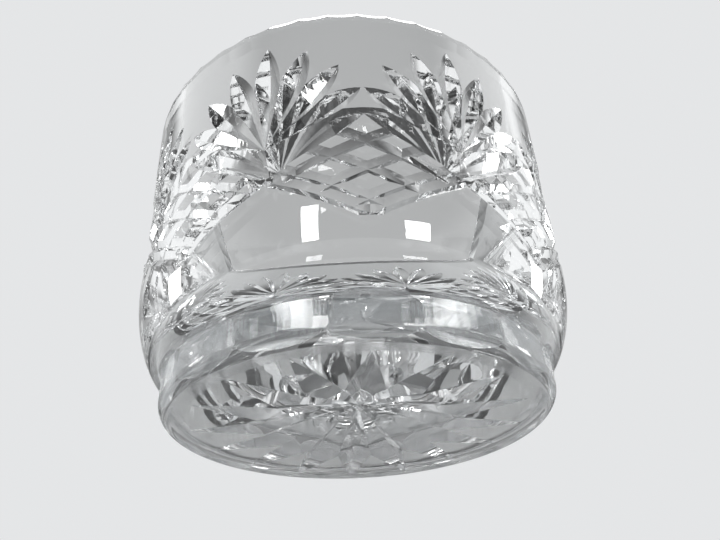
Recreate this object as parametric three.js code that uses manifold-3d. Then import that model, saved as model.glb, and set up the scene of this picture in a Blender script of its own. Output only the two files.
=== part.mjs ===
// A footed bowl in clear cut crystal: a heavy blown vessel that stands on a low pressed foot.
// The frame is in millimetres, +Z up, with the origin at the centre of the resting face.
import * as THREE from "three";
import { mergeVertices } from "three/addons/utils/BufferGeometryUtils.js";
import Module from "manifold-3d";

const wasm = await Module();
wasm.setup();

// Driving dimensions of the vessel
const height = 153;
const bodyRadius = 99;
const rimFlare = 1.8;
const wallThickness = 8.5;
const shoulderHeight = 56;
const neckSlope = 1.07;
const floorHeight = 20;
const floorCrown = 1.5;
const floorInset = 6.9;
const floorCornerHeight = 12;
const lipRounding = 1.2;

// Driving dimensions of the foot
const footHeight = 16;
const footRadius = 85.4;
const footEdgeRounding = 5.4;
const panelHollowRadius = 90;
const panelTopRounding = 5;
const panelRise = 1.5;
const ridgeRelief = 0.2;

// The star under the foot: full-width wheel cuts that cross at its centre
const starCuts = 8;
const starRadius = 73.6;
const starDepth = 10;
const starAngle = 49;

// The pattern round the wall: one fan and one diamond field in each repeat
const repeats = 8;
const crossingHeight = 61.7;
const fieldBottom = 42.1;
const borderDepth = 1.8;
const borderAngle = 60;
const borderRunOut = 3;

// The wide mitres over each field, whose lower flank is steeper than the upper one
const mitreRise = 4.2;
const mitreTipHeight = 91.8;
const mitreTipOverlap = 3;
const mitreDepth = 4.9;
const mitreUpperAngle = 60;
const mitreLowerAngle = 43;
const mitreRunIn = 5;
const mitreRunOut = 17;

// The lattice between them, measured in the middle of the field
const latticeLines = 3;
const latticeTop = 75;
const latticeStep = 13.5;
const latticeSlope = 0.505;
const latticeDepth = 1.5;
const latticeAngle = 60;

// The fan of blades over each crossing of the borders
const fanRootRise = 14.1;
const sideBlades = 3;
const bladeStep = 18.2;
const centreBladeLength = 58.3;
const bladeShortening = 3.8;
const bladeDepth = 3.6;
const bladeAngle = 57;
const bladeBelly = 0.6;
const bladeTipFullness = 0.9;

// The scallops ground round the outside of the rim
const scallops = 48;
const scallopHeight = 6;
const scallopDepth = 3.4;
const scallopRadius = 70;

// How finely round forms are divided
const outerSegments = 64;
const innerSegments = 48;
const panelSegments = 72;
const scallopSegments = 96;
const shoulderSteps = 6;
const cornerSteps = 5;
const edgeSteps = 4;
const panelTopSteps = 2;
const bladeSteps = 5;
const grooveSteps = 3;
const starSteps = 12;

// How far a cutting tool reaches past the surface that it cuts, and how close vertices must be to merge
const toolClearance = 1.2;
const toolReach = 20;
const mergeDistance = 1e-4;

const degree = Math.PI / 180;
const repeatAngle = 360 / repeats;
const panels = 2 * repeats;
const repeatWidth = repeatAngle * degree * bodyRadius;
const blankRimHeight = height - scallopHeight;

// A closed geometry as a solid: shared vertices merged, and triangles without area left out
function solid(geometry, matrix = new THREE.Matrix4()) {
  const bare = geometry.clone().applyMatrix4(matrix);
  bare.deleteAttribute("normal");
  bare.deleteAttribute("uv");
  const merged = mergeVertices(bare, mergeDistance);
  const corners = merged.index.array;
  const triangles = [];
  for (let i = 0; i < corners.length; i += 3) {
    const [a, b, c] = corners.slice(i, i + 3);
    if (a !== b && b !== c && c !== a) triangles.push(a, b, c);
  }
  return new wasm.Manifold(
    new wasm.Mesh({
      numProp: 3,
      vertProperties: merged.attributes.position.array,
      triVerts: new Uint32Array(triangles),
    }),
  );
}

// A solid as a named mesh of the scene
function piece(name, shape, material) {
  const mesh = shape.getMesh();
  const geometry = new THREE.BufferGeometry();
  geometry.setAttribute("position", new THREE.BufferAttribute(mesh.vertProperties, 3));
  geometry.setIndex(new THREE.BufferAttribute(mesh.triVerts, 1));
  geometry.computeVertexNormals();
  const object = new THREE.Mesh(geometry, material);
  object.name = name;
  return object;
}

// Several solids as one
function joined(shapes) {
  return shapes.reduce((sum, shape) => sum.add(shape));
}

// A profile of [radius, height] points turned round the Z axis
function turned(profile, segments) {
  const points = profile.map(([radius, level]) => new THREE.Vector2(radius, level));
  const geometry = new THREE.LatheGeometry(points, segments);
  return solid(geometry, new THREE.Matrix4().makeRotationX(Math.PI / 2));
}

// Points on an elliptical arc about (radius, level), from one angle to another, ends included
function arc(radius, level, halfWidth, halfHeight, from, to, steps) {
  const points = [];
  for (let i = 0; i <= steps; i += 1) {
    const angle = (from + ((to - from) * i) / steps) * degree;
    points.push([radius + halfWidth * Math.cos(angle), level + halfHeight * Math.sin(angle)]);
  }
  return points;
}

// The shoulder is an ellipse that reaches the straight wall upright and is cut off by the neck
const shoulderDrop = shoulderHeight - footHeight;
const shoulderHalfHeight = shoulderDrop * neckSlope;
const shoulderCutAngle = Math.asin(1 / neckSlope) / degree;
const shoulderHalfWidth = (bodyRadius - footRadius) / (1 - Math.cos(shoulderCutAngle * degree));

// The outer radius of the uncut wall at a height
function wallRadius(level) {
  const share = (level - shoulderHeight) / (blankRimHeight - shoulderHeight);
  if (share >= 0) return bodyRadius + rimFlare * Math.min(share, 1);
  const drop = Math.min((shoulderHeight - level) / shoulderHalfHeight, 1);
  return bodyRadius - shoulderHalfWidth * (1 - Math.sqrt(1 - drop * drop));
}

// The uncut vessel
function bowlBlank() {
  const shoulder = arc(
    bodyRadius - shoulderHalfWidth,
    shoulderHeight,
    shoulderHalfWidth,
    shoulderHalfHeight,
    -shoulderCutAngle,
    0,
    shoulderSteps,
  );
  const rimRadius = bodyRadius + rimFlare;
  const rim = [[rimRadius, blankRimHeight], [rimRadius, height]];
  return turned([[0, footHeight], ...shoulder, ...rim, [0, height]], outerSegments);
}

// The space inside the vessel, with a rounded lip and a rounded corner at the floor
function cavity() {
  const baseRadius = bodyRadius - wallThickness;
  const mouthRadius = baseRadius + rimFlare;
  const floorRadius = footRadius - floorInset;
  const corner = arc(
    floorRadius,
    floorHeight + floorCornerHeight,
    baseRadius - floorRadius,
    floorCornerHeight,
    -90,
    0,
    cornerSteps,
  );
  const profile = [
    [0, floorHeight + floorCrown],
    ...corner,
    [mouthRadius, height - lipRounding],
    [mouthRadius + lipRounding, height],
    [mouthRadius + lipRounding, height + toolReach],
    [0, height + toolReach],
  ];
  return turned(profile, innerSegments);
}

// The uncut foot: a disc with its lower edge rounded
function footBlank() {
  const edge = arc(
    footRadius - footEdgeRounding,
    footEdgeRounding,
    footEdgeRounding,
    footEdgeRounding,
    -90,
    0,
    edgeSteps,
  );
  return turned([[0, 0], ...edge, [footRadius, footHeight], [0, footHeight]], outerSegments);
}

// A V-shaped cutter: each section is its keel and its two shoulders, and the ends are closed
function keeledCutter(sections) {
  const positions = sections.flat().flatMap((point) => point.toArray());
  const triangles = [];
  for (let i = 0; i + 1 < sections.length; i += 1) {
    const here = 3 * i;
    const next = here + 3;
    for (let side = 0; side < 3; side += 1) {
      const other = (side + 1) % 3;
      triangles.push(here + side, here + other, next + other);
      triangles.push(here + side, next + other, next + side);
    }
  }
  const last = 3 * (sections.length - 1);
  triangles.push(0, 2, 1, last, last + 1, last + 2);
  const geometry = new THREE.BufferGeometry();
  geometry.setAttribute("position", new THREE.Float32BufferAttribute(positions, 3));
  geometry.setIndex(triangles);
  return solid(geometry);
}

// A point over the wall: the distance round it from the middle of a repeat, its height and its depth
function onWall(across, level, depth) {
  const angle = across / bodyRadius;
  const radius = wallRadius(level) - depth;
  return new THREE.Vector3(radius * Math.sin(angle), -radius * Math.cos(angle), level);
}

// A groove cut in the wall along a straight line on it, with a half-angle for each of its flanks
function wallGroove(start, end, shares, depthAt, upperAngle, lowerAngle) {
  const run = new THREE.Vector2().subVectors(end, start);
  const side = new THREE.Vector2(-run.y, run.x).normalize();
  if (side.y < 0) side.negate();
  const upperSpread = Math.tan(upperAngle * degree);
  const lowerSpread = Math.tan(lowerAngle * degree);
  const sections = [];
  for (const share of shares) {
    const depth = depthAt(share);
    const keel = new THREE.Vector2().lerpVectors(start, end, share);
    const upper = keel.clone().addScaledVector(side, (depth + toolClearance) * upperSpread);
    const lower = keel.clone().addScaledVector(side, -(depth + toolClearance) * lowerSpread);
    const shoulders = run.x < 0 ? [lower, upper] : [upper, lower];
    sections.push([
      onWall(keel.x, keel.y, depth),
      ...shoulders.map((point) => onWall(point.x, point.y, -toolClearance)),
    ]);
  }
  return keeledCutter(sections);
}

// The shares of a run at which a groove has a section, evenly spaced between two of them
function evenShares(from, to, steps) {
  return Array.from({ length: steps + 1 }, (_, i) => from + ((to - from) * i) / steps);
}

// A border groove: it runs on past both of its ends in a short ramp
function borderGroove(start, end) {
  const run = new THREE.Vector2().subVectors(end, start).normalize();
  const from = start.clone().addScaledVector(run, -borderRunOut);
  const to = end.clone().addScaledVector(run, borderRunOut);
  const ramp = (2 * borderRunOut) / from.distanceTo(to);
  const shares = [0, ...evenShares(ramp, 1 - ramp, grooveSteps), 1];
  const depthAt = (share) => borderDepth * Math.min(1, share / ramp, (1 - share) / ramp);
  return wallGroove(from, to, shares, depthAt, borderAngle, borderAngle);
}

// The keel line of the mitre that comes up from one side of a field: its low end and its tip
function mitreLine(side) {
  const low = new THREE.Vector2((side * repeatWidth) / 2, crossingHeight + mitreRise);
  return [low, new THREE.Vector2(-side * mitreTipOverlap, mitreTipHeight)];
}

// The wide mitre over the upper edge of a field, which fades out where it crosses its twin at the top
function mitre(side) {
  const [low, tip] = mitreLine(side);
  const run = new THREE.Vector2().subVectors(tip, low).normalize();
  const start = low.clone().addScaledVector(run, -mitreRunIn);
  const length = start.distanceTo(tip);
  const runIn = mitreRunIn / length;
  const runOut = mitreRunOut / length;
  const shares = [0, ...evenShares(runIn, 1 - runOut, grooveSteps), 1];
  const depthAt = (share) => mitreDepth * Math.min(1, share / runIn, (1 - share) / runOut);
  return wallGroove(start, tip, shares, depthAt, mitreUpperAngle, mitreLowerAngle);
}

// Where a line over the wall meets a lattice line, given by its height in mid-field and its slope
function meeting([start, end], level, slope) {
  const run = new THREE.Vector2().subVectors(end, start);
  const share = (level + slope * start.x - start.y) / (run.y - slope * run.x);
  return start.clone().addScaledVector(run, share);
}

// A lattice groove: it ends in a border groove and in a mitre, which take up its blunt ends
function latticeGroove(start, end) {
  const shares = evenShares(0, 1, grooveSteps);
  return wallGroove(start, end, shares, () => latticeDepth, latticeAngle, latticeAngle);
}

// One blade of a fan, deepest at its belly and pointed at both ends
function blade(root, tip, deepest) {
  const tipPower = bladeTipFullness;
  const rootPower = (tipPower * bladeBelly) / (1 - bladeBelly);
  const depthAt = (share) =>
    deepest * (share / bladeBelly) ** rootPower * ((1 - share) / (1 - bladeBelly)) ** tipPower;
  return wallGroove(root, tip, evenShares(0, 1, bladeSteps), depthAt, bladeAngle, bladeAngle);
}

// The diamond field in the middle of a repeat: borders below, mitres above and the lattice between them
function diamondField() {
  const bottom = new THREE.Vector2(0, fieldBottom);
  const cuts = [];
  for (const side of [-1, 1]) {
    const corner = new THREE.Vector2((side * repeatWidth) / 2, crossingHeight);
    cuts.push(borderGroove(corner, bottom), mitre(side));
    for (let i = 0; i < latticeLines; i += 1) {
      const level = latticeTop - i * latticeStep;
      const slope = -side * latticeSlope;
      const low = meeting([corner, bottom], level, slope);
      const high = meeting(mitreLine(-side), level, slope);
      cuts.push(latticeGroove(low, high));
    }
  }
  return cuts;
}

// The fan of blades over the crossing at the right of a repeat
function fan() {
  const axis = repeatWidth / 2;
  const rootHeight = crossingHeight + fanRootRise;
  const root = new THREE.Vector2(axis, rootHeight);
  const cuts = [];
  for (let i = -sideBlades; i <= sideBlades; i += 1) {
    const lean = i * bladeStep * degree;
    const length = centreBladeLength - Math.abs(i) * bladeShortening;
    const tip = new THREE.Vector2(axis + length * Math.sin(lean), rootHeight + length * Math.cos(lean));
    cuts.push(blade(root, tip, bladeDepth));
  }
  return cuts;
}

// Copies of a solid turned evenly about the Z axis
function ring(shape, count, firstAngle = 0) {
  const copies = [];
  for (let i = 0; i < count; i += 1) {
    copies.push(shape.rotate([0, 0, firstAngle + (i * 360) / count]));
  }
  return joined(copies);
}

// The whole pattern of the wall
function wallPattern() {
  return ring(joined([...diamondField(), ...fan()]), repeats);
}

// The hollow cutters that leave the rim scalloped: leaning cylinders, one to each scallop
function rimScallops() {
  const lean = Math.atan2(scallopDepth, scallopHeight);
  const length = 4 * scallopHeight;
  const cylinder = new THREE.CylinderGeometry(scallopRadius, scallopRadius, length, scallopSegments);
  const upright = new THREE.Matrix4().makeRotationX(Math.PI / 2);
  const leaning = new THREE.Matrix4().makeRotationX(-lean).multiply(upright);
  const outward = scallopRadius * Math.cos(lean);
  const upward = scallopRadius * Math.sin(lean);
  const place = new THREE.Matrix4().makeTranslation(
    0,
    -(bodyRadius + rimFlare - scallopDepth / 2 + outward),
    height - scallopHeight / 2 + upward,
  );
  const step = 360 / scallops;
  return ring(solid(cylinder, place.multiply(leaning)), scallops, step / 2);
}

// The hollow cutters that leave the foot panelled: each meets the next in a ridge
function panelHollows() {
  const halfStep = (180 / panels) * degree;
  const ridgeRadius = footRadius - ridgeRelief;
  const halfPanel = ridgeRadius * Math.sin(halfStep);
  const panelDistance = ridgeRadius * Math.cos(halfStep);
  const axisDistance = panelDistance + Math.sqrt(panelHollowRadius ** 2 - halfPanel ** 2);
  const top = footHeight + panelRise;
  const rounding = arc(
    panelHollowRadius - panelTopRounding,
    top - panelTopRounding,
    panelTopRounding,
    panelTopRounding,
    0,
    90,
    panelTopSteps,
  );
  const profile = [[0, -toolReach], [panelHollowRadius, -toolReach], ...rounding, [0, top]];
  const cutter = turned(profile, panelSegments).translate([0, -axisDistance, 0]);
  return ring(cutter, panels);
}

// The star: wheel cuts across the underside, each deepest at the centre and running out at both tips
function star() {
  const spread = Math.tan(starAngle * degree);
  const sections = [];
  for (let i = 0; i <= starSteps; i += 1) {
    const along = starRadius * ((2 * i) / starSteps - 1);
    const depth = starDepth * (1 - (along / starRadius) ** 2);
    const reach = (depth + toolClearance) * spread;
    sections.push([
      new THREE.Vector3(along, 0, depth),
      new THREE.Vector3(along, -reach, -toolClearance),
      new THREE.Vector3(along, reach, -toolClearance),
    ]);
  }
  const cut = keeledCutter(sections).rotate([0, 0, 90]);
  const cuts = [];
  for (let i = 0; i < starCuts; i += 1) cuts.push(cut.rotate([0, 0, (i * 180) / starCuts]));
  return joined(cuts);
}

// The vessel: blank, hollowed, cut with its pattern, scalloped, and hollowed by the tops of the panels
function bowl(hollows) {
  return bowlBlank().subtract(cavity()).subtract(wallPattern()).subtract(rimScallops()).subtract(hollows);
}

// The foot: blank, panelled round its side and starred underneath
function foot(hollows) {
  return footBlank().subtract(hollows).subtract(star());
}

// Clear colourless crystal, polished all over
function crystal() {
  return new THREE.MeshStandardMaterial({
    color: 0xe4ecee,
    roughness: 0.04,
    metalness: 0,
    transparent: true,
    opacity: 0.4,
  });
}

const hollows = panelHollows();
const footedBowl = new THREE.Group();
footedBowl.add(piece("bowl", bowl(hollows), crystal()));
footedBowl.add(piece("foot", foot(hollows), crystal()));

export default footedBowl;
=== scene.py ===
import math

import bpy
from mathutils import Matrix, Vector


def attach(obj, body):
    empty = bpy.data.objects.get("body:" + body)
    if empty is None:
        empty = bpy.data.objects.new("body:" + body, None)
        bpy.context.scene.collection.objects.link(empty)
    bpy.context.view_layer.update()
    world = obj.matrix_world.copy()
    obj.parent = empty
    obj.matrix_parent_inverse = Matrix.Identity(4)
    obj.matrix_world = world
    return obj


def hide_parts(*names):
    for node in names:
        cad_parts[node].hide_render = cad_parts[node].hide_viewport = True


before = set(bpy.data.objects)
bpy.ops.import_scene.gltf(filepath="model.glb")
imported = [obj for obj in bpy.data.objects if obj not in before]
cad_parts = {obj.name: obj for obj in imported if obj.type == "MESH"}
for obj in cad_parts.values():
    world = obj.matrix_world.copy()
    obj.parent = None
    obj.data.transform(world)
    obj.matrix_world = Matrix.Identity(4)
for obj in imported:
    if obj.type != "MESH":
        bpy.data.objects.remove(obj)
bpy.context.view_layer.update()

# Driving dimensions of the vessel, in millimetres as in the CAD source
HEIGHT = 153
BODY_RADIUS = 99
RIM_FLARE = 1.8
WALL_THICKNESS = 8.5
SHOULDER_HEIGHT = 56
NECK_SLOPE = 1.07
FLOOR_HEIGHT = 20
FLOOR_CROWN = 1.5
FLOOR_INSET = 6.9
FLOOR_CORNER_HEIGHT = 12
LIP_ROUNDING = 1.2
LIP_MIDDLE = 0.3

# The foot and the star under it
FOOT_HEIGHT = 16
FOOT_RADIUS = 85.4
FOOT_EDGE_ROUNDING = 5.4
PANEL_HOLLOW_RADIUS = 90
PANEL_TOP_ROUNDING = 5
PANEL_RISE = 1.5
RIDGE_RELIEF = 0.2
STAR_CUTS = 8
STAR_RADIUS = 73.6
STAR_DEPTH = 10
STAR_ANGLE = 49

# The pattern round the wall
REPEATS = 8
CROSSING_HEIGHT = 61.7
FIELD_BOTTOM = 42.1
BORDER_DEPTH = 1.8
BORDER_ANGLE = 60
BORDER_RUN_OUT = 3
MITRE_RISE = 4.2
MITRE_TIP_HEIGHT = 91.8
MITRE_TIP_OVERLAP = 3
MITRE_DEPTH = 4.9
MITRE_UPPER_ANGLE = 60
MITRE_LOWER_ANGLE = 43
MITRE_RUN_IN = 5
MITRE_RUN_OUT = 17
LATTICE_LINES = 3
LATTICE_TOP = 75
LATTICE_STEP = 13.5
LATTICE_SLOPE = 0.505
LATTICE_DEPTH = 1.5
LATTICE_ANGLE = 60
FAN_ROOT_RISE = 14.1
SIDE_BLADES = 3
BLADE_STEP = 18.2
CENTRE_BLADE_LENGTH = 58.3
BLADE_SHORTENING = 3.8
BLADE_DEPTH = 3.6
BLADE_ANGLE = 57
BLADE_BELLY = 0.6
BLADE_TIP_FULLNESS = 0.9
SCALLOPS = 48
SCALLOP_HEIGHT = 6
SCALLOP_DEPTH = 3.4
SCALLOP_RADIUS = 70

# How finely the glass is divided here
OUTER_SEGMENTS = 384
INNER_SEGMENTS = 256
SHOULDER_STEPS = 28
CORNER_STEPS = 20
EDGE_STEPS = 12
PANEL_STEPS = 26
PANEL_TOP_STEPS = 8
SCALLOP_SEGMENTS = 480
BLADE_STEPS = 24
GROOVE_STEPS = 10
STAR_STEPS = 48
CROWN_STEPS = 10

# How far the cutting tools reach past what they cut, and the angle from which an edge looks sharp
PANEL_SPREAD = 13
TOOL_CLEARANCE = 1.2
TOOL_REACH = 20
SHARP_ANGLE = 9
MILLIMETRE = 0.001

REPEAT_ANGLE = 360 / REPEATS
PANELS = 2 * REPEATS
REPEAT_WIDTH = math.radians(REPEAT_ANGLE) * BODY_RADIUS
BLANK_RIM = HEIGHT - SCALLOP_HEIGHT
SHOULDER_HALF_HEIGHT = (SHOULDER_HEIGHT - FOOT_HEIGHT) * NECK_SLOPE
SHOULDER_CUT = math.asin(1 / NECK_SLOPE)
SHOULDER_HALF_WIDTH = (BODY_RADIUS - FOOT_RADIUS) / (1 - math.cos(SHOULDER_CUT))


def mesh_object(name, points, faces):
    """A new object with this mesh, linked to the scene."""
    mesh = bpy.data.meshes.new(name)
    mesh.from_pydata([tuple(p) for p in points], [], faces)
    mesh.update()
    made = bpy.data.objects.new(name, mesh)
    bpy.context.scene.collection.objects.link(made)
    return made


def even(start, end, steps):
    """Evenly spaced values, ends included."""
    return [start + (end - start) * i / steps for i in range(steps + 1)]


def arc(radius, level, half_width, half_height, start, end, steps):
    """Points on an elliptical arc about (radius, level), ends included."""
    angles = [math.radians(angle) for angle in even(start, end, steps)]
    return [(radius + half_width * math.cos(a), level + half_height * math.sin(a)) for a in angles]


def turned(profile, segments):
    """Points and faces of a (radius, level) profile turned round Z, with its ends on the axis."""
    inner = profile[1:-1]
    count = len(inner)
    points = [(0, 0, profile[0][1])]
    for i in range(segments):
        angle = 2 * math.pi * i / segments
        points.extend((r * math.sin(angle), -r * math.cos(angle), z) for r, z in inner)
    last = len(points)
    points.append((0, 0, profile[-1][1]))
    faces = []
    for i in range(segments):
        here = 1 + i * count
        there = 1 + (i + 1) % segments * count
        faces.append((0, there, here))
        for j in range(count - 1):
            faces.append((here + j, there + j, there + j + 1, here + j + 1))
        faces.append((last, here + count - 1, there + count - 1))
    return points, faces


def copies(points, faces, angles):
    """Copies of a shape turned about Z by each angle, in one list of points and one of faces."""
    all_points, all_faces = [], []
    for angle in angles:
        turn = Matrix.Rotation(math.radians(angle), 3, "Z")
        start = len(all_points)
        all_points.extend(turn @ Vector(p) for p in points)
        all_faces.extend(tuple(start + i for i in face) for face in faces)
    return all_points, all_faces


def wall_radius(level):
    """The outer radius of the uncut wall at a height."""
    share = (level - SHOULDER_HEIGHT) / (BLANK_RIM - SHOULDER_HEIGHT)
    if share >= 0:
        return BODY_RADIUS + RIM_FLARE * min(share, 1)
    drop = min((SHOULDER_HEIGHT - level) / SHOULDER_HALF_HEIGHT, 1)
    return BODY_RADIUS - SHOULDER_HALF_WIDTH * (1 - math.sqrt(1 - drop * drop))


def bowl_blank():
    """The uncut vessel."""
    cut = math.degrees(SHOULDER_CUT)
    half_width, half_height = SHOULDER_HALF_WIDTH, SHOULDER_HALF_HEIGHT
    centre = BODY_RADIUS - half_width
    shoulder = arc(centre, SHOULDER_HEIGHT, half_width, half_height, -cut, 0, SHOULDER_STEPS)
    rim = BODY_RADIUS + RIM_FLARE
    top = [(rim, BLANK_RIM), (rim, HEIGHT), (0, HEIGHT)]
    return turned([(0, FOOT_HEIGHT), *shoulder, *top], OUTER_SEGMENTS)


def cavity():
    """The space inside the vessel."""
    base = BODY_RADIUS - WALL_THICKNESS
    mouth = base + RIM_FLARE
    floor_radius = FOOT_RADIUS - FLOOR_INSET
    crown = []
    for i in range(1, CROWN_STEPS):
        share = i / CROWN_STEPS
        crown.append((share * floor_radius, FLOOR_HEIGHT + FLOOR_CROWN * (1 - share * share)))
    rise = FLOOR_CORNER_HEIGHT
    corner = arc(floor_radius, FLOOR_HEIGHT + rise, base - floor_radius, rise, -90, 0, CORNER_STEPS)
    lip = [(mouth, HEIGHT - LIP_ROUNDING)]
    lip.append((mouth + LIP_MIDDLE * LIP_ROUNDING, HEIGHT - LIP_MIDDLE * LIP_ROUNDING))
    lip.append((mouth + LIP_ROUNDING, HEIGHT))
    top = [(mouth + LIP_ROUNDING, HEIGHT + TOOL_REACH), (0, HEIGHT + TOOL_REACH)]
    return turned([(0, FLOOR_HEIGHT + FLOOR_CROWN), *crown, *corner, *lip, *top], INNER_SEGMENTS)


def foot_blank():
    """The uncut foot."""
    rounding = FOOT_EDGE_ROUNDING
    edge = arc(FOOT_RADIUS - rounding, rounding, rounding, rounding, -90, 0, EDGE_STEPS)
    return turned([(0, 0), *edge, (FOOT_RADIUS, FOOT_HEIGHT), (0, FOOT_HEIGHT)], OUTER_SEGMENTS)


def keeled(sections):
    """A V-shaped cutter with closed ends: each section is its keel and its two shoulders."""
    points = [p for section in sections for p in section]
    faces = []
    for i in range(len(sections) - 1):
        here, there = 3 * i, 3 * i + 3
        for side in range(3):
            other = (side + 1) % 3
            faces.append((here + side, here + other, there + other))
            faces.append((here + side, there + other, there + side))
    last = 3 * (len(sections) - 1)
    faces.append((0, 2, 1))
    faces.append((last, last + 1, last + 2))
    return points, faces


def on_wall(across, level, depth):
    """A point over the wall, by the distance round it from mid-repeat, its height and its depth."""
    angle = across / BODY_RADIUS
    radius = wall_radius(level) - depth
    return (radius * math.sin(angle), -radius * math.cos(angle), level)


def wall_groove(start, end, shares, depth_at, upper_angle, lower_angle):
    """A groove in the wall along a straight line on it, with its depth at each share of its run."""
    run = Vector(end) - Vector(start)
    side = Vector((-run.y, run.x)).normalized()
    flanks = (upper_angle, lower_angle) if side.y > 0 else (lower_angle, upper_angle)
    left_spread, right_spread = (math.tan(math.radians(flank)) for flank in flanks)
    sections = []
    for share in shares:
        depth = depth_at(share)
        middle = Vector(start) + run * share
        reach = side * (depth + TOOL_CLEARANCE)
        left, right = middle + reach * left_spread, middle - reach * right_spread
        sections.append((
            on_wall(middle.x, middle.y, depth),
            on_wall(left.x, left.y, -TOOL_CLEARANCE),
            on_wall(right.x, right.y, -TOOL_CLEARANCE),
        ))
    return keeled(sections)


def border_groove(start, end):
    """A border groove: it runs on past both of its ends in a short ramp."""
    start, end = Vector(start), Vector(end)
    run = (end - start).normalized() * BORDER_RUN_OUT
    start, end = start - run, end + run
    ramp = 2 * BORDER_RUN_OUT / (end - start).length
    shares = [0, *even(ramp, 1 - ramp, GROOVE_STEPS), 1]

    def depth_at(t):
        return BORDER_DEPTH * min(1, t / ramp, (1 - t) / ramp)

    return wall_groove(start, end, shares, depth_at, BORDER_ANGLE, BORDER_ANGLE)


def mitre_line(side):
    """The keel line of the mitre from one side of a field: its low end and its tip."""
    low = Vector((side * REPEAT_WIDTH / 2, CROSSING_HEIGHT + MITRE_RISE))
    return low, Vector((-side * MITRE_TIP_OVERLAP, MITRE_TIP_HEIGHT))


def mitre(side):
    """The wide mitre over a field's upper edge, which fades out where it crosses its twin."""
    low, tip = mitre_line(side)
    start = low - (tip - low).normalized() * MITRE_RUN_IN
    length = (tip - start).length
    run_in, run_out = MITRE_RUN_IN / length, MITRE_RUN_OUT / length
    shares = [0, *even(run_in, 1 - run_out, GROOVE_STEPS), 1]

    def depth_at(t):
        return MITRE_DEPTH * min(1, t / run_in, (1 - t) / run_out)

    return wall_groove(start, tip, shares, depth_at, MITRE_UPPER_ANGLE, MITRE_LOWER_ANGLE)


def meeting(start, end, height, slope):
    """Where a line over the wall meets another, given by its height in mid-field and its slope."""
    run = end - start
    return start + run * ((height + slope * start.x - start.y) / (run.y - slope * run.x))


def lattice_groove(start, end):
    """A lattice groove, which ends in a border groove and in a mitre."""
    shares = even(0, 1, GROOVE_STEPS)
    return wall_groove(start, end, shares, lambda t: LATTICE_DEPTH, LATTICE_ANGLE, LATTICE_ANGLE)


def blade(root, tip, deepest):
    """One blade of a fan, deepest at its belly and pointed at both ends."""
    tip_power = BLADE_TIP_FULLNESS
    root_power = tip_power * BLADE_BELLY / (1 - BLADE_BELLY)

    def depth_at(t):
        root_share, tip_share = t / BLADE_BELLY, (1 - t) / (1 - BLADE_BELLY)
        return deepest * root_share**root_power * tip_share**tip_power

    shares = [0.5 - 0.5 * math.cos(math.pi * t) for t in even(0, 1, BLADE_STEPS)]
    shares[0], shares[-1] = 0, 1
    return wall_groove(root, tip, shares, depth_at, BLADE_ANGLE, BLADE_ANGLE)


def diamond_field():
    """The field in mid-repeat: a border on each side below, a mitre above, a lattice between."""
    bottom = Vector((0, FIELD_BOTTOM))
    cuts = []
    for side in (-1, 1):
        corner = Vector((side * REPEAT_WIDTH / 2, CROSSING_HEIGHT))
        cuts += [border_groove(corner, bottom), mitre(side)]
        for i in range(LATTICE_LINES):
            height, slope = LATTICE_TOP - i * LATTICE_STEP, -side * LATTICE_SLOPE
            low = meeting(corner, bottom, height, slope)
            high = meeting(*mitre_line(-side), height, slope)
            cuts.append(lattice_groove(low, high))
    return cuts


def fan():
    """The fan of blades over the crossing at the right of a repeat."""
    axis = REPEAT_WIDTH / 2
    root_height = CROSSING_HEIGHT + FAN_ROOT_RISE
    cuts = []
    for i in range(-SIDE_BLADES, SIDE_BLADES + 1):
        lean = math.radians(i * BLADE_STEP)
        length = CENTRE_BLADE_LENGTH - abs(i) * BLADE_SHORTENING
        tip = (axis + length * math.sin(lean), root_height + length * math.cos(lean))
        cuts.append(blade((axis, root_height), tip, BLADE_DEPTH))
    return cuts


def scallop():
    """The leaning cylinder that grinds one scallop of the rim."""
    lean = math.atan2(SCALLOP_DEPTH, SCALLOP_HEIGHT)
    half = 2 * SCALLOP_HEIGHT
    profile = [(0, -half), (SCALLOP_RADIUS, -half), (SCALLOP_RADIUS, half), (0, half)]
    points, faces = turned(profile, SCALLOP_SEGMENTS)
    outward = BODY_RADIUS + RIM_FLARE - SCALLOP_DEPTH / 2 + SCALLOP_RADIUS * math.cos(lean)
    upward = HEIGHT - SCALLOP_HEIGHT / 2 + SCALLOP_RADIUS * math.sin(lean)
    place = Matrix.Translation((0, -outward, upward)) @ Matrix.Rotation(-lean, 4, "X")
    return [place @ Vector(p) for p in points], faces


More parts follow.
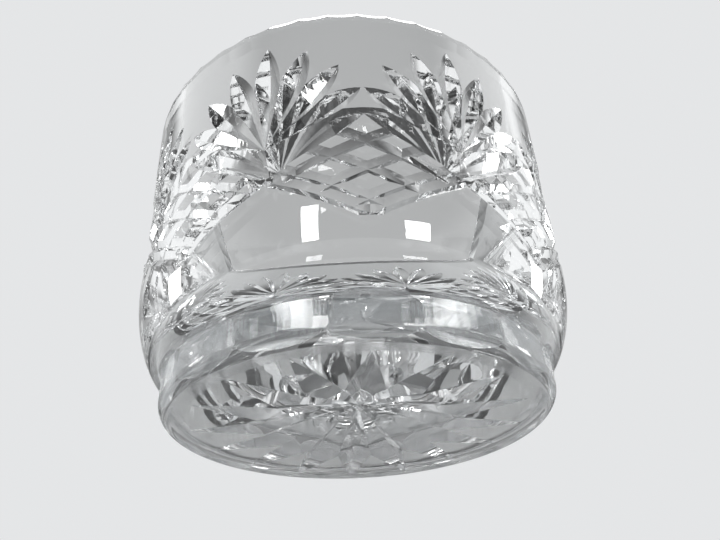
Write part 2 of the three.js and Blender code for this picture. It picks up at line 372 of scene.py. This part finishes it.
def panel_hollow():
    """The wedge of a turned cutter that hollows one panel of the foot."""
    half_step = math.radians(180 / PANELS)
    ridge = FOOT_RADIUS - RIDGE_RELIEF
    half_panel = ridge * math.sin(half_step)
    distance = ridge * math.cos(half_step) + math.sqrt(PANEL_HOLLOW_RADIUS**2 - half_panel**2)
    top = FOOT_HEIGHT + PANEL_RISE
    rounding = PANEL_TOP_ROUNDING
    inner = PANEL_HOLLOW_RADIUS - rounding
    profile = [(0, -TOOL_REACH), (PANEL_HOLLOW_RADIUS, -TOOL_REACH)]
    profile += arc(inner, top - rounding, rounding, rounding, 0, 90, PANEL_TOP_STEPS)
    profile.append((0, top))
    count = len(profile)
    points, index = [], {}
    for i, angle in enumerate(even(-PANEL_SPREAD, PANEL_SPREAD, PANEL_STEPS)):
        turn = math.radians(angle)
        for j, (radius, level) in enumerate(profile):
            # The two points on the axis are shared by all sections
            if i and radius == 0:
                index[i, j] = j
                continue
            index[i, j] = len(points)
            points.append((-radius * math.sin(turn), radius * math.cos(turn) - distance, level))
    faces = []
    for i in range(PANEL_STEPS):
        for j in range(count - 1):
            loop = [index[i, j], index[i, j + 1], index[i + 1, j + 1], index[i + 1, j]]
            faces.append(tuple(dict.fromkeys(loop)))
    faces.append(tuple(index[0, j] for j in range(count - 1, -1, -1)))
    faces.append(tuple(index[PANEL_STEPS, j] for j in range(count)))
    return points, faces


def star_cut():
    """One wheel cut of the star, from side to side under the foot."""
    spread = math.tan(math.radians(STAR_ANGLE))
    sections = []
    for along in even(-STAR_RADIUS, STAR_RADIUS, STAR_STEPS):
        depth = STAR_DEPTH * (1 - (along / STAR_RADIUS) ** 2)
        reach = (depth + TOOL_CLEARANCE) * spread
        shoulders = [(side * reach, along, -TOOL_CLEARANCE) for side in (1, -1)]
        sections.append(((0, along, depth), *shoulders))
    return keeled(sections)


def carved(name, blank, cutters):
    """The blank with each cutter's shape taken out of it, as one closed mesh."""
    body = mesh_object(name, *blank)
    tools = []
    for i, shape in enumerate(cutters):
        tool = mesh_object(f"tool_{i}", *shape)
        tools.append(tool)
        cut = body.modifiers.new(tool.name, "BOOLEAN")
        cut.operation = "DIFFERENCE"
        cut.solver = "MANIFOLD"
        cut.object = tool
    depsgraph = bpy.context.evaluated_depsgraph_get()
    mesh = bpy.data.meshes.new_from_object(body.evaluated_get(depsgraph))
    old = body.data
    body.modifiers.clear()
    body.data = mesh
    mesh.name = name
    bpy.data.meshes.remove(old)
    for tool in tools:
        data = tool.data
        bpy.data.objects.remove(tool)
        bpy.data.meshes.remove(data)
    return body


repeat_angles = [i * REPEAT_ANGLE for i in range(REPEATS)]
panel_angles = [i * 360 / PANELS for i in range(PANELS)]
scallop_angles = [(i + 0.5) * 360 / SCALLOPS for i in range(SCALLOPS)]
hollows = [copies(*panel_hollow(), panel_angles[start::2]) for start in (0, 1)]
pattern = [copies(*shape, repeat_angles) for shape in (*diamond_field(), *fan())]
rim_cuts = [copies(*scallop(), scallop_angles[start::2]) for start in (0, 1)]
star_cuts = [copies(*star_cut(), [i * 180 / STAR_CUTS]) for i in range(STAR_CUTS)]

bowl = carved("bowl_crystal", bowl_blank(), [cavity(), *pattern, *rim_cuts, *hollows])
foot = carved("foot_crystal", foot_blank(), [*hollows, *star_cuts])

for piece in (bowl, foot):
    mesh = piece.data
    mesh.transform(Matrix.Scale(MILLIMETRE, 4))
    mesh.shade_smooth()
    mesh.set_sharp_from_angle(angle=math.radians(SHARP_ANGLE))


class Tree:
    """The nodes of a material or world, with short calls for the kinds that this scene needs."""

    def __init__(self, owner, keep=False):
        owner.use_nodes = True
        self.nodes, self.links = owner.node_tree.nodes, owner.node_tree.links
        if not keep:
            self.nodes.clear()

    def feed(self, socket, value):
        """Links a socket to another one, or sets its value."""
        if isinstance(value, bpy.types.NodeSocket):
            self.links.new(value, socket)
        else:
            socket.default_value = value

    def add(self, kind, *values, named=None, **settings):
        """A new node, with its first inputs and its named inputs fed, and its settings made."""
        node = self.nodes.new("ShaderNode" + kind)
        for name, value in settings.items():
            setattr(node, name, value)
        for socket, value in zip(node.inputs, values):
            self.feed(socket, value)
        for name, value in (named or {}).items():
            self.feed(node.inputs[name], value)
        return node

    def math(self, operation, *values):
        """The result of a math node."""
        return self.add("Math", *values, operation=operation).outputs[0]

    def length(self, vector):
        """The length of a vector."""
        return self.add("VectorMath", vector, operation="LENGTH").outputs["Value"]

    def change(self, value, ends, low=0, high=1, kind="SMOOTHSTEP"):
        """A change from low to high as a value goes from one end to the other."""
        node = self.add("MapRange", value, *ends, low, high, interpolation_type=kind)
        return node.outputs["Result"]

    def noise(self, vector, scale, detail):
        """The value of a noise texture."""
        named = {"Vector": vector, "Scale": scale, "Detail": detail}
        return self.add("TexNoise", named=named).outputs[0]


# The glass: its tint and index, faint traces of polishing, and fine scratches where the foot rubs
# on the table. Each noise is given by its scale and its detail.
TINT = (0.985, 0.993, 0.996, 1)
REFRACTIVE_INDEX = 1.545
HAZE_NOISE, HAZE_RANGE, HAZE_ROUGHNESS = (45, 3), (0.55, 0.75), 0.012
SCRATCH_NOISE, SCRATCH_RANGE, SCRATCH_ROUGHNESS = (1400, 5), (0.42, 0.6), (0.05, 0.25)
WORN_HEIGHT, WORN_EDGE = 0.2, 1
WAVE_NOISE, WAVE_STRENGTH, WAVE_DEPTH = (26, 1), 0.25, 0.0006

crystal = bpy.data.materials.new("crystal")
tree = Tree(crystal, keep=True)
shader = tree.nodes["Principled BSDF"]
shader.inputs["Base Color"].default_value = TINT
shader.inputs["Transmission Weight"].default_value = 1
shader.inputs["IOR"].default_value = REFRACTIVE_INDEX
where = tree.add("TexCoord").outputs["Object"]
rise = tree.add("SeparateXYZ", where).outputs["Z"]
resting_ring = (STAR_RADIUS * MILLIMETRE, (STAR_RADIUS + WORN_EDGE) * MILLIMETRE)
haze = tree.change(tree.noise(where, *HAZE_NOISE), HAZE_RANGE, 0, HAZE_ROUGHNESS, "LINEAR")
low = tree.change(rise, (0, WORN_HEIGHT * MILLIMETRE), 1, 0, "LINEAR")
outer = tree.change(tree.length(where), resting_ring, 0, 1, "LINEAR")
worn = tree.math("MULTIPLY", low, outer)
scratches = tree.noise(where, *SCRATCH_NOISE)
scratches = tree.change(scratches, SCRATCH_RANGE, *SCRATCH_ROUGHNESS, "LINEAR")
roughness = tree.math("ADD", haze, tree.math("MULTIPLY", worn, scratches))
tree.feed(shader.inputs["Roughness"], roughness)

# The blown wall is never quite even: a slow, shallow waviness
waves = tree.noise(where, *WAVE_NOISE)
wave_inputs = {"Strength": WAVE_STRENGTH, "Distance": WAVE_DEPTH, "Height": waves}
tree.feed(shader.inputs["Normal"], tree.add("Bump", named=wave_inputs).outputs["Normal"])

# Where the foot and the bowl are joined, the glass goes on without a surface. Those faces are level
# and lie within this many millimetres of the joint's height.
JOINT_TOLERANCE, LEVEL_NORMAL = 0.01, 0.999
joint = bpy.data.materials.new("joined_glass")
tree = Tree(joint)
tree.add("OutputMaterial", tree.add("BsdfTransparent").outputs[0])

for piece, node in ((bowl, "bowl"), (foot, "foot")):
    piece.data.materials.clear()
    piece.data.materials.append(crystal)
    piece.data.materials.append(joint)
    for face in piece.data.polygons:
        above_joint = face.center.z / MILLIMETRE - FOOT_HEIGHT
        if abs(above_joint) < JOINT_TOLERANCE and abs(face.normal.z) > LEVEL_NORMAL:
            face.material_index = 1
    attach(piece, "root")
    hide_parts(node)

# The floor shows from above only, because the camera looks up from below it. Away from the bowl it
# runs into the pale background, for the eye and in the glass.
# Near the bowl it stays a plain matt floor, so a darker ring round the bowl is painted shade, over
# the bowl's real shadow.
PALE = (0.78, 0.79, 0.8, 1)
FLOOR_COLOUR = (0.58, 0.583, 0.588, 1)
FLOOR_SPAN, FLOOR_GAP = 20, 0.0001
# Distances from the bowl, in metres, over which the painted shade round it gives way to the pale
# glow
PAINTED_SHADE_FADE = (0.2, 0.8)

floor = mesh_object("floor", [(-1, -1, 0), (1, -1, 0), (1, 1, 0), (-1, 1, 0)], [(0, 1, 2, 3)])
floor.data.transform(Matrix.Scale(FLOOR_SPAN, 4))
floor.location.z = -FLOOR_GAP
ground = bpy.data.materials.new("ground")
tree = Tree(ground)
geometry = tree.add("NewGeometry")
rays = tree.add("LightPath").outputs
in_glass = tree.math("MAXIMUM", rays["Is Glossy Ray"], rays["Is Transmission Ray"])
seen = tree.math("MAXIMUM", rays["Is Camera Ray"], in_glass)
distance = tree.length(geometry.outputs["Position"])
# Painted shade: the floor glows pale only away from the bowl, so it is darker near the bowl
glow_beyond_painted_shade = tree.math("MULTIPLY", tree.change(distance, PAINTED_SHADE_FADE), seen)
matt = tree.add("BsdfDiffuse", FLOOR_COLOUR).outputs[0]
glow = tree.add("Emission", PALE).outputs[0]
upper_side = tree.add("MixShader", glow_beyond_painted_shade, matt, glow).outputs[0]
under_side = tree.add("BsdfTransparent").outputs[0]
both = tree.add("MixShader", geometry.outputs["Backfacing"], upper_side, under_side)
tree.add("OutputMaterial", both.outputs[0])
floor.data.materials.append(ground)

# The studio: the eye sees a pale ground, and all that isn't glass gets a plain white light. The
# glass sees a pale backdrop behind the bowl, a soft box on either side, and a dim room. Its parts
# end at angles from the +Y axis in degrees, and at sines of the elevation.
PLAIN_LIGHT = 0.5
SURROUND_COLOUR = (0.985, 0.995, 1, 1)
BACKDROP, SOFT_BOX, ROOM, CEILING = 0.46, 0.92, 0.03, 0.05
BACKDROP_SIDES, BACKDROP_FOOT = (30, 52), (0.2, 0.42)
SOFT_BOX_FRONT, SOFT_BOX_BACK = (45, 60), (105, 130)
LIGHT_TOP, CEILING_RISE = (0.88, 0.98), (0.6, 0.9)

world = bpy.data.worlds.new("studio")
bpy.context.scene.world = world
tree = Tree(world)
direction = tree.add("SeparateXYZ", tree.add("TexCoord").outputs["Generated"]).outputs
away = tree.math("ABSOLUTE", tree.math("ARCTAN2", direction["X"], direction["Y"]))
sine = direction["Z"]


def edge(degrees, low, high):
    """A soft edge in the surround, between two angles from the +Y axis."""
    return tree.change(away, [math.radians(angle) for angle in degrees], low, high)


backdrop = edge(BACKDROP_SIDES, BACKDROP, 0)
backdrop = tree.math("MULTIPLY", backdrop, tree.change(sine, BACKDROP_FOOT))
soft_box = tree.math("MULTIPLY", edge(SOFT_BOX_FRONT, 0, SOFT_BOX), edge(SOFT_BOX_BACK, 1, 0))
lights = tree.math("ADD", backdrop, soft_box)
lights = tree.math("MULTIPLY", lights, tree.change(sine, LIGHT_TOP, 1, 0))
level = tree.math("ADD", lights, tree.change(sine, CEILING_RISE, ROOM, CEILING))
plain = tree.add("Background", (1, 1, 1, 1), PLAIN_LIGHT).outputs[0]
surround = tree.add("Background", SURROUND_COLOUR, level).outputs[0]
pale = tree.add("Background", PALE).outputs[0]
rays = tree.add("LightPath").outputs
in_glass = tree.math("MAXIMUM", rays["Is Glossy Ray"], rays["Is Transmission Ray"])
light = tree.add("MixShader", in_glass, plain, surround).outputs[0]
shown = tree.add("MixShader", rays["Is Camera Ray"], light, pale).outputs[0]
tree.add("OutputWorld", shown)


def towards(azimuth, elevation):
    """A unit vector by its azimuth from +Y and its elevation, in radians."""
    flat = math.cos(elevation)
    return Vector((math.sin(azimuth) * flat, math.cos(azimuth) * flat, math.sin(elevation)))


def lamp(name, azimuth, elevation, width, tall, power, in_glass):
    """A soft rectangular lamp, pointed at the bowl, that the camera doesn't see."""
    data = bpy.data.lights.new(name, "AREA")
    data.shape = "RECTANGLE"
    data.size = width
    data.size_y = tall
    data.energy = power
    made = bpy.data.objects.new(name, data)
    aim = towards(math.radians(azimuth), math.radians(elevation))
    made.location = aim * LAMP_DISTANCE + LAMP_TARGET
    made.rotation_euler = (LAMP_TARGET - made.location).to_track_quat("-Z", "Y").to_euler()
    made.visible_camera = False
    made.visible_transmission = in_glass
    bpy.context.scene.collection.objects.link(made)


# Each lamp's azimuth from +Y and elevation, width, height and power, and whether it is seen through
# the glass. The bowl's wall mirrors the low ones.
LAMP_DISTANCE, LAMP_TARGET = 1.2, Vector((0, 0, 0.04))
LAMPS = (
    ("window", -158, 12, 0.16, 0.5, 5, True),
    ("door", 154, 7, 0.24, 0.26, 4, True),
    ("left", -84, 11, 0.2, 0.3, 2.4, True),
    ("right", 86, 10, 0.2, 0.3, 2.4, True),
    ("overhead", 30, 76, 0.7, 0.7, 7, False),
)
for row in LAMPS:
    lamp(*row)

# The camera stands where the photograph was taken from
AZIMUTH, YAW, PITCH, ROLL = (math.radians(angle) for angle in (-4.35, 5.22, 33.35, -3.19))
DISTANCE, DROP, FOCAL_PIXELS, FRAME_WIDTH = 0.27294, 0.09773, 642.95, 720
SENSOR_WIDTH, CLIP_START, CLIP_END = 36, 0.01, 100

data = bpy.data.cameras.new("camera")
data.sensor_fit = "HORIZONTAL"
data.sensor_width = SENSOR_WIDTH
data.lens = SENSOR_WIDTH * FOCAL_PIXELS / FRAME_WIDTH
data.clip_start = CLIP_START
data.clip_end = CLIP_END
camera = bpy.data.objects.new("camera", data)
bpy.context.scene.collection.objects.link(camera)
bpy.context.scene.camera = camera
forward = towards(YAW, PITCH)
level_right = Vector((math.cos(YAW), -math.sin(YAW), 0))
level_up = level_right.cross(forward)
right = math.cos(ROLL) * level_right + math.sin(ROLL) * level_up
up = -math.sin(ROLL) * level_right + math.cos(ROLL) * level_up
turn = Matrix((right, up, -forward)).transposed().to_4x4()
spot = Vector((math.sin(AZIMUTH) * DISTANCE, -math.cos(AZIMUTH) * DISTANCE, -DROP))
camera.matrix_world = Matrix.Translation(spot) @ turn

scene = bpy.context.scene
scene.view_settings.view_transform = "Standard"
scene.cycles.max_bounces = 24
scene.cycles.transmission_bounces = 24
scene.cycles.glossy_bounces = 16
scene.cycles.transparent_max_bounces = 32
